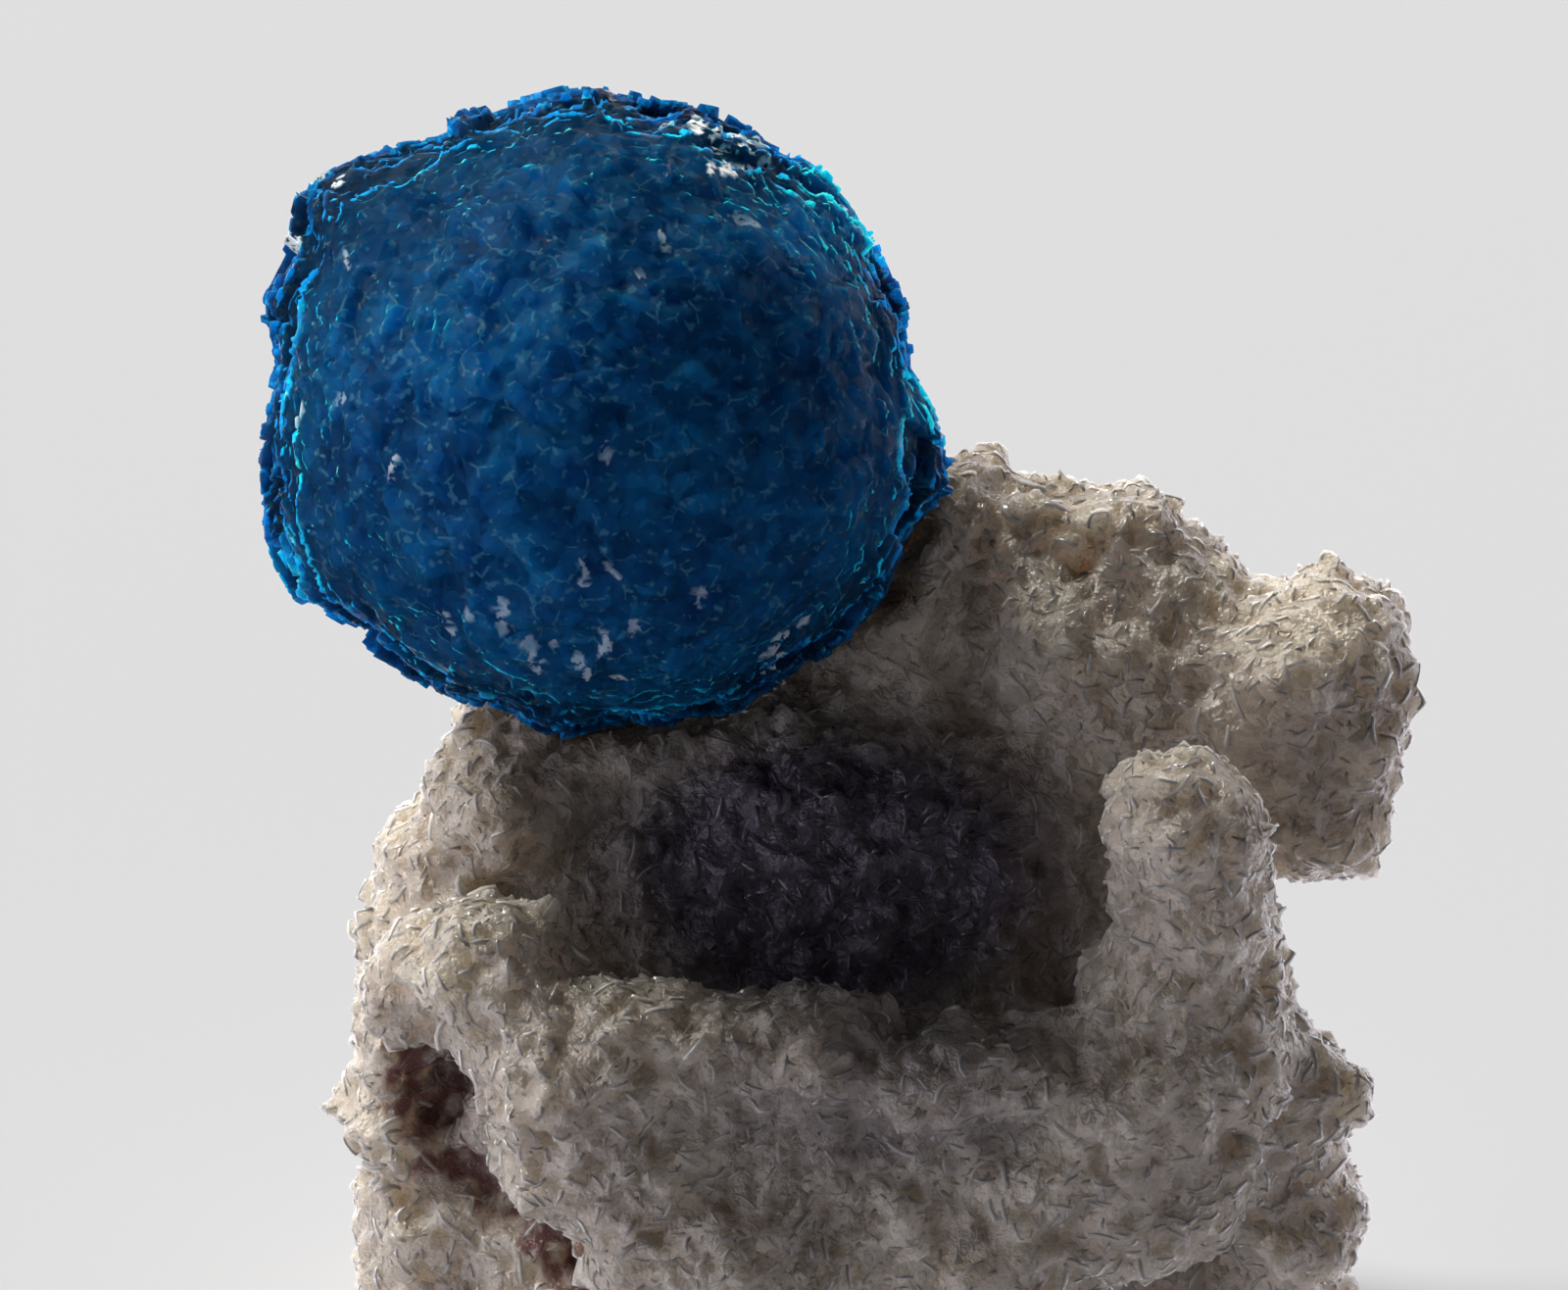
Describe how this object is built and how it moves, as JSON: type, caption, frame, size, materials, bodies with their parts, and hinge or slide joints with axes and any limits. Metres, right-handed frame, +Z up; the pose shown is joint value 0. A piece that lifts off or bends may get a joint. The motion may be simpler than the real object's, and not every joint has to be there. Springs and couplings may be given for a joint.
{
  "type": "cavansite rosette on stilbite matrix",
  "caption": "Ball-shaped rosette of deep blue cavansite blades seated on a lumpy, crystal-crusted stilbite matrix with a flat broken base.",
  "frame": {"origin": "point in the flat base face, below the middle of the matrix", "axes": "+Z up from the base through the rosette, +X towards the arm on the matrix's right, -Y towards the viewer's side with the knob and the ledge"},
  "size_m": [0.0239, 0.0157, 0.0272],
  "materials": {
    "cavansite": "glossy",
    "stilbite": "satin"
  },
  "bodies": {
    "root": {"cavansite_rosette": "cavansite", "stilbite_matrix": "stilbite"}
  },
  "joints": []
}
